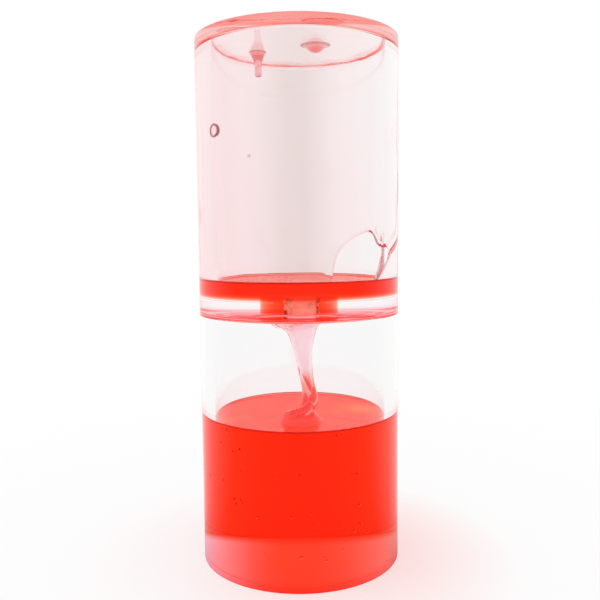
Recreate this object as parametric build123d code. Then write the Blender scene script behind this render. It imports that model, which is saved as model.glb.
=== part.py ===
from build123d import *
import math
import os

# A liquid motion timer: two clear tubes on one axis, split by a disc with one
# hole, closed by a disc at each end, with thick red gel running down.
# +Z is up, and the origin is the middle of the face that it stands on.

# Clear body
outer_diameter = 60.0
wall_thickness = 4.0
tube_length = 72.8
end_disc_thickness = 2.0
divider_thickness = 5.0
seam_thickness = 0.1
edge_chamfer = 0.4
orifice_diameter = 16.0

# Pools of gel, as depths over the disc that each one lies on
lower_gel_depth = 42.1
upper_gel_depth = 4.8

# Air that stands in the middle of the hole while gel runs down its wall
air_core_diameter = 6.2

# Gel that clings to the wall of the upper chamber and to both ceilings
film_thickness_low = 0.75
film_thickness_high = 0.5
film_shift = 0.2
ceiling_film_thickness = 0.3
corner_ring_height = 0.9
corner_ring_width = 1.8

# Bare patch in the wall film, low on the right, as the gel left it
patch_width = 18.6
patch_height = 14.0
patch_angle = 44.0
patch_left_shares = [(-0.5, 0.0), (-0.36, 0.62), (0.15, 1.0)]
patch_right_shares = [(0.15, 1.0), (0.29, 0.76), (0.5, 0.6), (0.42, 0.0)]

# Run of gel beside the bare patch: turn about the axis and height above the
# upper pool at each bend, the height as a share of the run's own height
run_radius = 0.7
run_height = 12.4
run_angles = [98.0, 86.0, 75.8, 69.8, 62.0, 60.0]
run_height_shares = [1.0, 0.79, 0.57, 0.41, 0.12, 0.0]

# Droplets on the wall of the upper chamber, each with its middle sunk in the
# film by a share of its own radius
drop_sunk_share = 0.33
droplet_radius = 2.1
droplet_angle = -59.0
droplet_height = 47.3
speck_radius = 0.6
speck_angle = -30.0
speck_height = 39.1

# Drops that hang under the ceiling
long_drop_x = -12.1
long_drop_y = 4.6
long_drop_base_radius = 2.7
long_drop_stem_radius = 1.1
long_drop_neck = 3.0
long_drop_length = 7.3
long_drop_neck_share = 0.3
round_drop_x = 5.3
round_drop_y = -3.0
round_drop_base_radius = 4.6
round_drop_body_radius = 2.6
round_drop_skirt = 0.5
round_drop_length = 2.2

# Pile of gel on the lower pool: loops that have run together, widest first,
# each one set off from the middle of the pile by shares of the widest radius
pile_radius = 6.4
pile_height = 4.6
pile_x = 0.5
pile_y = -11.5
pile_radius_shares = [1.0, 0.72, 0.46]
pile_height_shares = [0.36, 0.34, 0.3]
pile_offset_shares = [(0.0, 0.0), (0.12, 0.2), (0.41, 0.5)]

# Strand of gel from the hole to the pile: level, sideways and forward place
# as shares of its height, lean and lag, and the radius at each level
strand_top_radius = 9.0
strand_lean = 2.9
strand_forward = 8.3
strand_level_shares = [1.0, 0.94, 0.87, 0.8, 0.7, 0.5, 0.3, 0.14, 0.0]
strand_radius_shares = [1.0, 0.84, 0.66, 0.5, 0.37, 0.31, 0.24, 0.2, 0.19]
strand_lean_shares = [0.0, 0.02, 0.06, 0.12, 0.22, 0.42, 0.62, 0.85, 1.0]

# Sizes and levels that follow from the ones above
outer_radius = outer_diameter / 2
bore_radius = outer_radius - wall_thickness
orifice_radius = orifice_diameter / 2
air_core_radius = air_core_diameter / 2
lower_floor = end_disc_thickness
lower_tube_base = lower_floor + seam_thickness
divider_base = lower_tube_base + tube_length + seam_thickness
divider_top = divider_base + divider_thickness
upper_tube_base = divider_top + seam_thickness
ceiling = upper_tube_base + tube_length + seam_thickness
overall_height = ceiling + end_disc_thickness
lower_gel_top = lower_floor + lower_gel_depth
upper_gel_top = divider_top + upper_gel_depth
ceiling_film_base = ceiling - ceiling_film_thickness
film_top = ceiling_film_base - corner_ring_height
pile_top = lower_gel_top + pile_height
film_radius_low = bore_radius - film_thickness_low
film_radius_high = bore_radius - film_thickness_high

on_base = (Align.CENTER, Align.CENTER, Align.MIN)


def rod(radius, height, base):
    """An upright cylinder on the axis, standing on the level base."""
    return Pos(0, 0, base) * Cylinder(radius, height, align=on_base)


def ring(height, base):
    """A ring with the section of the tube wall."""
    return rod(outer_radius, height, base) - rod(bore_radius, height, base)


def turned(*outline):
    """A solid turned about the axis from an outline of radius and height."""
    return revolve(make_face([Plane.XZ * edge for edge in outline]), axis=Axis.Z)


def on_wall(radius, angle, height):
    """The place at a radius and a turn from the front, height above the divider."""
    turn = math.radians(angle)
    return (radius * math.sin(turn), -radius * math.cos(turn), divider_top + height)


def end_disc():
    """An end disc, lying with its chamfered outer face down at the origin."""
    flat = outer_radius - edge_chamfer
    return turned(
        Polyline(
            (0, 0),
            (flat, 0),
            (outer_radius, edge_chamfer),
            (outer_radius, end_disc_thickness),
            (0, end_disc_thickness),
            close=True,
        )
    )


def top_disc():
    """The same disc with its outer face up."""
    return Pos(0, 0, overall_height) * Rot(180, 0, 0) * end_disc()


def divider_disc():
    """The disc between the chambers, with the hole that the gel runs through."""
    solid = rod(outer_radius, divider_thickness, divider_base)
    return solid - rod(orifice_radius, divider_thickness, divider_base)


def orifice_gel():
    """The gel that lines the hole, round its core of air."""
    lining = rod(orifice_radius, divider_thickness, divider_base)
    return lining - rod(air_core_radius, divider_thickness, divider_base)


def upper_air():
    """The space that the wall film leaves free, a slight cone set off sideways."""
    height = ceiling - upper_gel_top
    cone = Cone(film_radius_low, film_radius_high, height, align=on_base)
    return Pos(film_shift, 0, upper_gel_top) * cone


def bare_patch():
    """A block that clears the bare patch out of the wall film."""
    left = [(patch_width * s, upper_gel_top + patch_height * t) for s, t in patch_left_shares]
    right = [(patch_width * s, upper_gel_top + patch_height * t) for s, t in patch_right_shares]
    outline = [ThreePointArc(*left), Spline(*right), Line(right[-1], left[0])]
    face = make_face([Plane.XZ * edge for edge in outline])
    return Rot(0, 0, patch_angle) * extrude(face, amount=outer_radius)


def wall_film():
    """The film on the wall of the upper chamber, open at the bare patch."""
    height = film_top - upper_gel_top
    return rod(bore_radius, height, upper_gel_top) - upper_air() - bare_patch()


def ceiling_gel():
    """The film under the ceiling, with the gel that fills its corner."""
    ring_radius = film_radius_high - corner_ring_width
    film_edge = (ring_radius, ceiling_film_base)
    wall_edge = (film_radius_high, film_top)
    return turned(
        Polyline((film_radius_high, film_top), (bore_radius, film_top), (bore_radius, ceiling)),
        Polyline((bore_radius, ceiling), (0, ceiling), (0, ceiling_film_base), film_edge),
        RadiusArc(film_edge, wall_edge, corner_ring_width),
    )


def divider_gel():
    """The film under the divider round the strand, with the gel in its corner."""
    film_base = divider_base - ceiling_film_thickness
    inner = (strand_top_radius, film_base)
    film_edge = (bore_radius - corner_ring_width, film_base)
    wall_edge = (bore_radius, film_base - corner_ring_height)
    return turned(
        Polyline(wall_edge, (bore_radius, divider_base), (strand_top_radius, divider_base)),
        Polyline((strand_top_radius, divider_base), inner, film_edge),
        RadiusArc(film_edge, wall_edge, corner_ring_width),
    )


def wall_run():
    """The run of gel down the wall beside the bare patch."""
    places = [
        Vector(*on_wall(film_radius_low, angle, upper_gel_depth + run_height * share))
        for angle, share in zip(run_angles, run_height_shares)
    ]
    bead = Pos(*places[0]) * Sphere(run_radius)
    for start, end in zip(places, places[1:]):
        stretch = Plane(origin=start, z_dir=end - start)
        bead += stretch * Cylinder(run_radius, (end - start).length, align=on_base)
        bead += Pos(*end) * Sphere(run_radius)
    return bead & upper_air()


def wall_drop(radius, angle, height):
    """A droplet on the wall, the part of a ball that stands out of the film."""
    place = on_wall(film_radius_low + radius * drop_sunk_share, angle, height)
    return Pos(*place) * Sphere(radius) & upper_air()


def wall_droplets():
    """The large and the small droplet on the wall, one group of two solids."""
    droplet = wall_drop(droplet_radius, droplet_angle, droplet_height)
    return droplet + wall_drop(speck_radius, speck_angle, speck_height)


def long_drop():
    """A drop drawn out to a stem, hanging under the ceiling film."""
    shoulder = (long_drop_stem_radius, -long_drop_neck)
    bend_radius = long_drop_stem_radius + (
        long_drop_base_radius - long_drop_stem_radius
    ) * long_drop_neck_share
    bend = (bend_radius, -long_drop_neck * long_drop_neck_share)
    stem_end = long_drop_stem_radius - long_drop_length
    shape = turned(
        Line((0, 0), (long_drop_base_radius, 0)),
        ThreePointArc((long_drop_base_radius, 0), bend, shoulder),
        Line(shoulder, (long_drop_stem_radius, stem_end)),
        RadiusArc((long_drop_stem_radius, stem_end), (0, -long_drop_length), long_drop_stem_radius),
        Line((0, -long_drop_length), (0, 0)),
    )
    return Pos(long_drop_x, long_drop_y, ceiling_film_base) * shape


def round_drop():
    """A shallow drop with a sloping skirt, hanging under the ceiling film."""
    neck = (round_drop_body_radius, -round_drop_skirt)
    depth = round_drop_length - round_drop_skirt
    bulge_radius = (round_drop_body_radius**2 + depth**2) / (2 * depth)
    shape = turned(
        Polyline((0, 0), (round_drop_base_radius, 0), neck),
        RadiusArc(neck, (0, -round_drop_length), bulge_radius),
        Line((0, -round_drop_length), (0, 0)),
    )
    return Pos(round_drop_x, round_drop_y, ceiling_film_base) * shape


def gel_pile():
    """The pile on the lower pool: round-edged loops, each on the one below."""
    base = lower_gel_top
    pile = None
    for radius_share, height_share, (side, back) in zip(
        pile_radius_shares, pile_height_shares, pile_offset_shares
    ):
        height = pile_height * height_share
        middle_radius = pile_radius * radius_share - height / 2
        loop = Cylinder(middle_radius, height) + Torus(middle_radius, height / 2)
        place = (pile_x + pile_radius * side, pile_y + pile_radius * back, base + height / 2)
        pile = Pos(*place) * loop if pile is None else pile + Pos(*place) * loop
        base += height
    return pile


def gel_strand():
    """The strand from the hole down to the pile, leaning as it falls."""
    height = divider_base - pile_top
    sections = []
    for level, radius, lean in zip(strand_level_shares, strand_radius_shares, strand_lean_shares):
        place = (strand_lean * lean, -strand_forward * lean, pile_top + height * level)
        sections.append(Pos(*place) * Circle(strand_top_radius * radius))
    return loft(sections)


nodes = {
    "bottom_disc": end_disc(),
    "bottom_seam": ring(seam_thickness, lower_floor),
    "lower_tube": ring(tube_length, lower_tube_base),
    "divider_lower_seam": ring(seam_thickness, divider_base - seam_thickness),
    "divider_disc": divider_disc(),
    "divider_upper_seam": ring(seam_thickness, divider_top),
    "upper_tube": ring(tube_length, upper_tube_base),
    "top_seam": ring(seam_thickness, ceiling - seam_thickness),
    "top_disc": top_disc(),
    "lower_gel": rod(bore_radius, lower_gel_depth, lower_floor),
    "gel_pile": gel_pile(),
    "gel_strand": gel_strand(),
    "divider_gel": divider_gel(),
    "orifice_gel": orifice_gel(),
    "upper_gel": rod(bore_radius, upper_gel_depth, divider_top),
    "wall_film": wall_film(),
    "wall_run": wall_run(),
    "wall_droplets": wall_droplets(),
    "ceiling_gel": ceiling_gel(),
    "ceiling_drop_long": long_drop(),
    "ceiling_drop_round": round_drop(),
}

os.makedirs("parts", exist_ok=True)
for name, shape in nodes.items():
    export_step(shape, f"parts/{name}.step")
    print(name, round(shape.volume, 1))
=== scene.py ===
from contextlib import contextmanager
from math import atan2, cos, degrees, exp, hypot, pi, radians, sin, tan

import bmesh
import bpy
from bpy.props import FloatProperty, FloatVectorProperty, IntProperty, PointerProperty
from bpy.types import Operator, Panel, PropertyGroup
from mathutils import Matrix, Vector, noise


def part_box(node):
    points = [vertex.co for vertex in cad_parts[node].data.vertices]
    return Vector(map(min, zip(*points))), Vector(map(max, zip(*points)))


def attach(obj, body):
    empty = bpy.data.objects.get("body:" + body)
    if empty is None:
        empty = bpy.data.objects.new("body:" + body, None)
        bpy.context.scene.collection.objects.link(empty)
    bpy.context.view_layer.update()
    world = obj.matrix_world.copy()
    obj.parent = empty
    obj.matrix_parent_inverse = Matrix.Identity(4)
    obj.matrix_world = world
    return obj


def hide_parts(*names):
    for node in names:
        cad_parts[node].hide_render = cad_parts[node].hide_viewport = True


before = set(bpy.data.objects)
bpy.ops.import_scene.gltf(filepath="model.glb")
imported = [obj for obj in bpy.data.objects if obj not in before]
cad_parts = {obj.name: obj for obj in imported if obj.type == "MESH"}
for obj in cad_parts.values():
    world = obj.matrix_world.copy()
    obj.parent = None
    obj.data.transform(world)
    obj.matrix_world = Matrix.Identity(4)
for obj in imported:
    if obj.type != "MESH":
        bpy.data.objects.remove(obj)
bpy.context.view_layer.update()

bl_info = {
    "name": "Liquid Motion Timer",
    "version": (1, 0, 0),
    "blender": (4, 5, 0),
    "location": "View3D > Sidebar > Timer",
    "description": "Builds a clear timer with two chambers and red gel running down inside",
    "category": "Add Mesh",
}

MM = 0.001
# Gap between faces that touch, so that a ray of light meets one after the other
HAIR = 0.01 * MM
BODY = "root"


def reach(node):
    """How far a node goes out from the axis."""
    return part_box(node)[1][0]


def base(node):
    """The lowest level of a node."""
    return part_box(node)[0][2]


def top(node):
    """The highest level of a node."""
    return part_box(node)[1][2]


# Sizes that the frame gives
OUTER = reach("lower_tube")
BORE = reach("lower_gel")
HOLE = reach("orifice_gel")
FLOOR_OF_LOWER = top("bottom_disc")
LOWER_POOL_LEVEL = top("lower_gel")
DIVIDER_BASE = base("divider_disc")
DIVIDER_TOP = top("divider_disc")
DIVIDER_FOOT = base("divider_gel") + 0.35 * MM
UPPER_POOL_LEVEL = top("upper_gel")
CEILING = base("top_disc")

# Skins of a clear piece: open to the air, wetted by gel, cemented, or standing
OPEN, WET, JOINED, FOOT = 0, 1, 2, 3
WHITE = (1, 1, 1)


# Values that a user would change


def kind_of(prop, **fixed):
    """A short way to write one kind of value: its name, description and default."""

    def write(name, about, default, **more):
        return prop(name=name, description=about, default=default, **fixed, **more)

    return write


a_length = kind_of(FloatProperty, unit="LENGTH")
an_angle = kind_of(FloatProperty, subtype="ANGLE")
a_number = kind_of(FloatProperty)
a_count = kind_of(IntProperty)
a_colour = kind_of(FloatVectorProperty, subtype="COLOR")
three = kind_of(FloatVectorProperty)


def a_loss(name, where, default):
    return three(name, "Red, green and blue light taken in per metre of " + where, default)


class TimerBody(PropertyGroup):
    edge_round: a_length("Edge round", "Rounding of the discs' outer edges", 0.2 * MM)
    joint_groove: a_length(
        "Joint groove", "Rounding of the edges that meet in a cemented joint", 0.03 * MM
    )
    turns: a_count("Facets", "Facets round each turned piece", 240, min=24)
    refraction: a_number("Acrylic refraction", "Refractive index of the clear acrylic", 1.49)
    tint: a_colour("Acrylic tint", "Colour of the clear acrylic", (0.99, 0.985, 0.985))


class TimerGel(PropertyGroup):
    refraction: a_number("Gel refraction", "Refractive index of the gel", 1.49)
    deep_loss: a_loss("Deep loss", "a pool", (0.3, 82.0, 114.0))
    shallow_loss: a_loss("Shallow loss", "the upper pool", (0.3, 145.0, 190.0))
    thin_loss: a_loss("Thin loss", "thin gel", (0.3, 62.0, 56.0))
    drop_loss: a_loss("Drop loss", "a hanging drop", (6.0, 260.0, 235.0))
    ceiling_loss: a_loss("Ceiling loss", "ceiling film", (3.0, 175.0, 188.0))
    falling_loss: a_loss("Falling loss", "falling gel", (0.2, 22.0, 18.0))
    blush: a_colour("Blush", "Colour that thin gel gives to light at its surface", (1.0, 0.86, 0.9))
    # Glow, depth colour and shallow colour set the gel's painted glow: light that its volume gives
    # off under any lamp
    glow: a_number("Glow", "Red light that the dye gives back per metre of gel", 4.0)
    depth_colour: three(
        "Depth colour",
        "Colour that gel tends to where it is deep, beside its red glow",
        (0.0, 0.01, 0.002),
    )
    shallow_colour: three("Shallow colour", "The same for the upper pool", (0.0, 0.025, 0.008))
    air_core: a_length("Air core", "Radius of the air that stands in the hole", 3.1 * MM)
    skin_gap: a_length("Skin gap", "Gap between the gel and the wall that it wets", 0.02 * MM)
    climb: a_length("Climb", "How high a pool climbs the wall", 0.5 * MM)
    climb_width: a_length("Climb width", "How far from the wall a pool starts to climb", 0.9 * MM)
    film_low: a_length(
        "Film at the pool", "Thickness of the wall film just over the pool", 0.85 * MM
    )
    film_high: a_length(
        "Film at the ceiling", "Thickness of the wall film under the ceiling", 0.45 * MM
    )
    film_lean: a_length(
        "Film lean", "How much thicker the film is on the left than on average", 0.36 * MM
    )
    film_ripple: a_length("Film ripple", "Depth of the runs and ripples in the film", 0.05 * MM)
    ceiling_film: a_length("Ceiling film", "Thickness of the film under the ceiling", 0.3 * MM)
    bubbles: a_count("Bubbles", "Air bubbles caught in the lower pool", 60, min=0)


class TimerStudio(PropertyGroup):
    camera_distance: a_length(
        "Camera distance", "Distance from the timer's axis to the camera", 222.64 * MM
    )
    camera_height: a_length("Camera height", "Height of the camera over the floor", 97.73 * MM)
    camera_pitch: an_angle("Camera pitch", "How far the camera looks down", radians(5.0))
    camera_yaw: an_angle(
        "Camera yaw", "How far the camera looks to the right of the axis", radians(0.09)
    )
    camera_roll: an_angle(
        "Camera roll",
        "How far the camera is tilted about its own line of sight",
        radians(-0.557),
    )
    lens: a_number("Lens", "Focal length on a 36 mm sensor, in millimetres", 43.95)
    floor_colour: a_colour("Floor colour", "Colour of the floor near the timer", (0.95, 0.95, 0.95))
    floor_lift: a_number(
        "Floor lift", "How much of its shadow the floor loses at the timer's foot", 0.78
    )
    plain_radius: a_length(
        "Plain white radius",
        "Distance from the axis past which the floor is plain white",
        260 * MM,
    )
    bounces: a_count("Bounces", "How many faces a ray of light may cross or meet", 120, min=1)
    mirrored_front: a_number(
        "Mirrored front", "Brightness that the outer faces mirror from the camera's side", 0.06
    )
    inner_front: a_number(
        "Inner front", "Brightness that light inside finds on the camera's side", 0.85
    )


# Mesh tools

# A face whose heights differ by less is level and shaded flat
LEVEL_FACE = 1e-7
SHARP_CORNER = radians(35)


class Shell:
    """Points, faces and skins of a piece while it is being built."""

    def __init__(self, angles):
        self.angles = angles
        self.points, self.faces, self.skins = [], [], []

    def ring(self, row):
        """Adds one ring of points; row is (radius, height) or gives it for an angle."""
        if not callable(row) and row[0] == 0:
            self.points.append((0, 0, row[1]))
            return [len(self.points) - 1] * len(self.angles)
        first = len(self.points)
        for angle in self.angles:
            radius, height = row(angle) if callable(row) else row
            self.points.append((radius * sin(angle), -radius * cos(angle), height))
        return list(range(first, len(self.points)))

    def add(self, face, skin=0):
        """Adds a face; skin is a number or gives one for the face's middle."""
        self.faces.append(face)
        if callable(skin):
            corners = [Vector(self.points[corner]) for corner in face]
            skin = skin(sum(corners, Vector()) / len(face))
        self.skins.append(skin)

    def turn(self, rows, skins=None):
        """Turns an outline, given row by row, into faces. A skin for each row closes it;
        without skins it stays open between its last row and its first."""
        rings = [self.ring(row) for row in rows]
        skins = skins or [0] * (len(rows) - 1)
        for lower, upper, skin in zip(rings, following(rings), skins):
            for corners in zip(lower, following(lower), following(upper), upper):
                face = list(dict.fromkeys(corners))
                if len(face) > 2:
                    self.add(face, skin)

    def piece(self, name, *materials):
        """The finished object, smooth but for its flat faces and sharp corners."""
        mesh = bpy.data.meshes.new(name)
        mesh.from_pydata(self.points, [], self.faces)
        mesh.update()
        for face, skin in zip(mesh.polygons, self.skins):
            face.material_index = skin
            heights = [self.points[corner][2] for corner in face.vertices]
            face.use_smooth = max(heights) - min(heights) > LEVEL_FACE
        for material in materials:
            mesh.materials.append(material)
        mesh.set_sharp_from_angle(angle=SHARP_CORNER)
        return linked(bpy.data.objects.new(name, mesh))


def linked(thing):
    bpy.context.scene.collection.objects.link(thing)
    return thing


def even_angles(count):
    return [2 * pi * step / count for step in range(count)]


def middle_of(box):
    """The middle of a box that is given by its two corners."""
    return [(low + high) / 2 for low, high in zip(*box)]


def following(items):
    """The items from the second on, and then the first."""
    return items[1:] + items[:1]


def clamp(value, low=0.0, high=1.0):
    return max(low, min(high, value))


def bell(distance, width):
    """1 at no distance, falling off smoothly over a width."""
    return exp(-((distance / width) ** 2))


def rounded(corners, steps=4):
    """Rows and skins of an outline whose corners are (radius, height, round, skin)."""
    rows, skins = [], []
    for place, (radius, height, size, skin) in enumerate(corners):
        if not size:
            rows.append((radius, height))
            skins.append(skin)
            continue
        before, after = corners[place - 1], corners[(place + 1) % len(corners)]
        corner = Vector((radius, height))
        back = (Vector(before[:2]) - corner).normalized()
        ahead = (Vector(after[:2]) - corner).normalized()
        half = back.angle(ahead) / 2
        middle = corner + (back + ahead).normalized() * size / sin(half)
        cut = size / tan(half)
        start, end = corner + back * cut, corner + ahead * cut
        margin = size / 5
        rows.append(tuple(start + back * margin))
        skins.append(before[3])
        for step in range(steps + 1):
            way = start.lerp(end, step / steps) - middle
            rows.append(tuple(middle + way.normalized() * size))
            skins.append(OPEN)
        rows.append(tuple(end + ahead * margin))
        skins[-1] = skin
        skins.append(skin)
    return rows, skins


@contextmanager
def opened(mesh):
    """Opens a mesh for work on its points and faces, and then writes it back."""
    shape = bmesh.new()
    shape.from_mesh(mesh)
    yield shape
    shape.to_mesh(mesh)
    shape.free()


def finish_piece(piece, slot, *nodes):
    """Lets a piece ride on the body in place of its nodes. The slot is not used."""
    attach(piece, BODY)
    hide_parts(*nodes)


def turn_clear(context, name, corners, node, slot="clear_acrylic"):
    """Turns a clear piece about the axis from an outline with rounded corners."""
    shell = Shell(even_angles(context.scene.timer_body.turns))
    rows, skins = rounded(corners)
    if rows[0][0] == 0:
        skins = skins[:-1]
    shell.turn(rows, skins)
    finish_piece(shell.piece(name, *clear_skins(context.scene)), slot, node)


# Material tools


def works(operation, swapped=False):
    """A method of Wire that adds one Math node."""

    def method(self, *others):
        terms = (*others, self) if swapped else (self, *others)
        values = dict(enumerate(terms))
        return self.nodes.node("ShaderNodeMath", values, operation=operation)

    return method


class Wire:
    """One output of a node, so that sums can be written with it."""

    def __init__(self, nodes, socket):
        self.nodes = nodes
        self.socket = socket

    __add__ = __radd__ = works("ADD")
    __mul__ = __rmul__ = works("MULTIPLY")
    __sub__ = works("SUBTRACT")
    __rsub__ = works("SUBTRACT", swapped=True)
    __rtruediv__ = works("DIVIDE", swapped=True)
    __pow__ = works("POWER")
    __gt__ = works("GREATER_THAN")
    __lt__ = works("LESS_THAN")
    root = works("SQRT")
    size = works("ABSOLUTE")
    larger = works("MAXIMUM")
    sine = works("SINE")
    cosine = works("COSINE")
    times_plus = works("MULTIPLY_ADD")


class Nodes:
    """A node tree, written as calls."""

    def __init__(self, tree):
        self.tree = tree
        tree.nodes.clear()

    def node(self, kind, values=None, output=0, **settings):
        """Adds a node: its settings first, then the values or links of its sockets."""
        new = self.tree.nodes.new(kind)
        for key, value in settings.items():
            setattr(new, key, value)
        for key, value in (values or {}).items():
            if isinstance(value, Wire):
                self.tree.links.new(value.socket, new.inputs[key])
            else:
                new.inputs[key].default_value = value
        return None if output is None else Wire(self, new.outputs[output])


def tone(colour):
    """A link, or a colour as a socket takes it."""
    return colour if isinstance(colour, Wire) else (*colour, 1)


class Look(Nodes):
    """The nodes of one material or of the world."""

    def __init__(self, owner):
        self.owner = owner
        owner.use_nodes = True
        super().__init__(owner.node_tree)

    def place(self):
        """The three object coordinates."""
        spot = self.node("ShaderNodeTexCoord", output="Object")
        return [self.node("ShaderNodeSeparateXYZ", {"Vector": spot}, axis) for axis in "XYZ"]

    def pattern(self, scale, detail=2.0, stretch=(1, 1, 1)):
        """Noise on the object coordinates, of so many features a metre."""
        spot = self.node("ShaderNodeTexCoord", output="Object")
        spot = self.node("ShaderNodeMapping", {"Vector": spot, "Scale": stretch})
        return self.node("ShaderNodeTexNoise", {"Vector": spot, "Scale": scale, "Detail": detail})

    def ramp(self, value, low, high, first=0.0, last=1.0):
        """value from low to high, mapped to first and last."""
        ends = {"From Min": low, "From Max": high, "To Min": first, "To Max": last}
        return self.node("ShaderNodeMapRange", {"Value": value, **ends})

    def mix(self, share, first, second):
        """The first colour mixed with a share of the second."""
        values = {0: share, 6: tone(first), 7: tone(second)}
        return self.node("ShaderNodeMix", values, 2, data_type="RGBA")

    def edge(self):
        """The mesh's own measure of how near an edge of the gel is."""
        return self.node("ShaderNodeAttribute", output="Fac", attribute_name="edge")

    def ray(self, kind):
        """1 for light of one kind, 0 for all other light."""
        return self.node("ShaderNodeLightPath", output=f"Is {kind} Ray")

    def mirrored(self):
        """1 for light that an outer face mirrors, 0 for all other light."""
        return self.ray("Glossy") * (1 - self.ray("Transmission"))

    def bump(self, height, depth):
        return self.node("ShaderNodeBump", {"Height": height, "Distance": depth})

    def clear(self, colour, refraction, **more):
        """A clear face; more are other sockets of it."""
        values = {"Base Color": tone(colour), "Transmission Weight": 1.0, "Roughness": 0.0}
        return self.node("ShaderNodeBsdfPrincipled", {**values, "IOR": refraction, **more})

    def light(self, colour, strength=1.0):
        return self.node("ShaderNodeEmission", {"Color": tone(colour), "Strength": strength})

    def blend(self, share, first, second):
        """The first shader mixed with a share of the second."""
        return self.node("ShaderNodeMixShader", {0: share, 1: first, 2: second})

    def finish(self, surface, volume=None):
        world = isinstance(self.owner, bpy.types.World)
        values = {"Surface": surface, "Volume": volume} if volume else {"Surface": surface}
        self.node("ShaderNodeOutputWorld" if world else "ShaderNodeOutputMaterial", values, None)
        return self.owner


def material(name):
    return Look(bpy.data.materials.new(name))


def acrylic_look(name, body):
    """Clear acrylic: faint waves from its making and a faint haze of handling."""
    look = material(name)
    waves = look.bump(look.pattern(90, 1.0, (1, 1, 0.35)), 0.012 * MM)
    haze = look.ramp(look.pattern(160, 3.0), 0.5, 0.75, 0.0, 0.03)
    return look.finish(look.clear(body.tint, body.refraction, Normal=waves, Roughness=haze))


def touched_look(name, refraction):
    """Clear acrylic that gel or cement touches; refraction is its step to them."""
    look = material(name)
    return look.finish(look.clear(WHITE, refraction))


# Painted glow in the foot, for the light that the ground throws back into it
PAINTED_GROUND_GLOW = (1.0, 0.67, 0.86)
# Rise of that painted glow's upper edge for each step towards the front
FOOT_SLOPE = 0.32


def foot_look(name, body):
    """The wall low at the front: clear, with a painted glow in its two sides, more on the left,
    for the light that the ground throws back there, and painted shade along its lowest edge
    and in a line just over the glow."""
    look = material(name)
    x, y, z = look.place()
    left = look.ramp(x, -2 * MM, -28 * MM)
    right = look.ramp(x, 2 * MM, 28 * MM)
    # Share of the painted glow: most on the left, some on the right
    glow_share = left**2.7 * 0.5 + right * right * 0.13 + 0.014
    level = z + y * FOOT_SLOPE
    low = look.ramp(level, 4.6 * MM, 6.2 * MM, 1.0, 0.0)
    clouds = look.ramp(look.pattern(60, 3.0), 0.35, 0.65, 0.85, 1.0)
    # Painted shade: dark red along the lowest edge, and a darker line just over the glow, stronger
    # at the sides
    rim = look.ramp(z, 0.25 * MM, 0.5 * MM, 1.0, 0.0)
    line = look.ramp((level - 6.5 * MM).size(), 0.15 * MM, 0.45 * MM, 1.0, 0.0)
    outward = look.ramp(x.size(), 6 * MM, 28 * MM, 0.1, 1.0)
    bottom_shaded = look.mix(rim, body.tint, (0.4, 0.14, 0.14))
    clear = look.clear(look.mix(line * outward, bottom_shaded, (0.75, 0.5, 0.5)), body.refraction)
    return look.finish(look.blend(glow_share * low * clouds, clear, look.light(PAINTED_GROUND_GLOW)))


def clear_skins(scene):
    """The four skins of the clear pieces: open, wet, joined and standing."""
    body, gel = scene.timer_body, scene.timer_gel
    names = ("acrylic_open", "acrylic_wet", "acrylic_joined", "acrylic_foot")
    found = [bpy.data.materials.get(name) for name in names]
    if all(found):
        return found
    return [
        acrylic_look(names[OPEN], body),
        touched_look(names[WET], body.refraction / gel.refraction),
        touched_look(names[JOINED], 1.0),
        foot_look(names[FOOT], body),
    ]


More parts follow.
